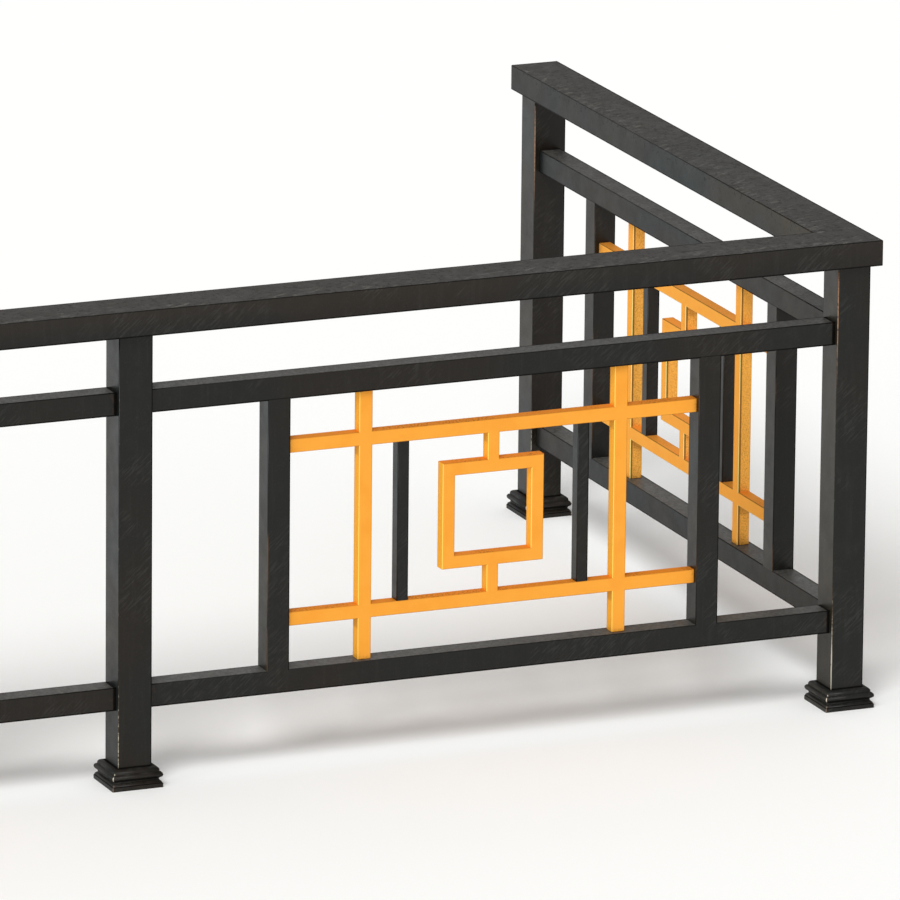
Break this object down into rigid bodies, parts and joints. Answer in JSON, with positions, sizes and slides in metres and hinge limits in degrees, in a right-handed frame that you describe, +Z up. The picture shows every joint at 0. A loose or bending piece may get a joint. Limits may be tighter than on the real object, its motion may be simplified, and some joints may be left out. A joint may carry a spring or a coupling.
{
  "type": "balcony railing",
  "caption": "Three-sided balcony railing with a mitred handrail, square posts on moulded shoes and gold lattice panels in dark frames.",
  "frame": {"origin": "on the floor, in the middle of the railing's plan", "axes": "+X along the front run, +Y from the front towards the wall, +Z up"},
  "size_m": [3.6, 1.86, 1.1],
  "materials": {
    "dark_patina": "near-black hammered patina, worn to bronze on the edges",
    "shoe_patina": "near-black patina, worn to bronze on the mouldings",
    "gold_lattice": "warm gold satin with brighter rubbed edges"
  },
  "bodies": {
    "root": {"front_handrail": "dark_patina", "front_left_bay_lattice": "gold_lattice", "front_left_bay_left_short_bar": "dark_patina", "front_left_bay_left_stile": "dark_patina", "front_left_bay_lower_rail": "dark_patina", "front_left_bay_right_short_bar": "dark_patina", "front_left_bay_right_stile": "dark_patina", "front_left_bay_upper_rail": "dark_patina", "front_right_bay_lattice": "gold_lattice", "front_right_bay_left_short_bar": "dark_patina", "front_right_bay_left_stile": "dark_patina", "front_right_bay_lower_rail": "dark_patina", "front_right_bay_right_short_bar": "dark_patina", "front_right_bay_right_stile": "dark_patina", "front_right_bay_upper_rail": "dark_patina", "left_corner_post": "dark_patina", "left_corner_shoe": "shoe_patina", "left_handrail": "dark_patina", "left_rear_post": "dark_patina", "left_rear_shoe": "shoe_patina", "left_return_front_short_bar": "dark_patina", "left_return_front_stile": "dark_patina", "left_return_lattice": "gold_lattice", "left_return_lower_rail": "dark_patina", "left_return_rear_short_bar": "dark_patina", "left_return_rear_stile": "dark_patina", "left_return_upper_rail": "dark_patina", "middle_post": "dark_patina", "middle_shoe": "shoe_patina", "right_corner_post": "dark_patina", "right_corner_shoe": "shoe_patina", "right_handrail": "dark_patina", "right_rear_post": "dark_patina", "right_rear_shoe": "shoe_patina", "right_return_front_short_bar": "dark_patina", "right_return_front_stile": "dark_patina", "right_return_lattice": "gold_lattice", "right_return_lower_rail": "dark_patina", "right_return_rear_short_bar": "dark_patina", "right_return_rear_stile": "dark_patina", "right_return_upper_rail": "dark_patina"}
  },
  "joints": []
}
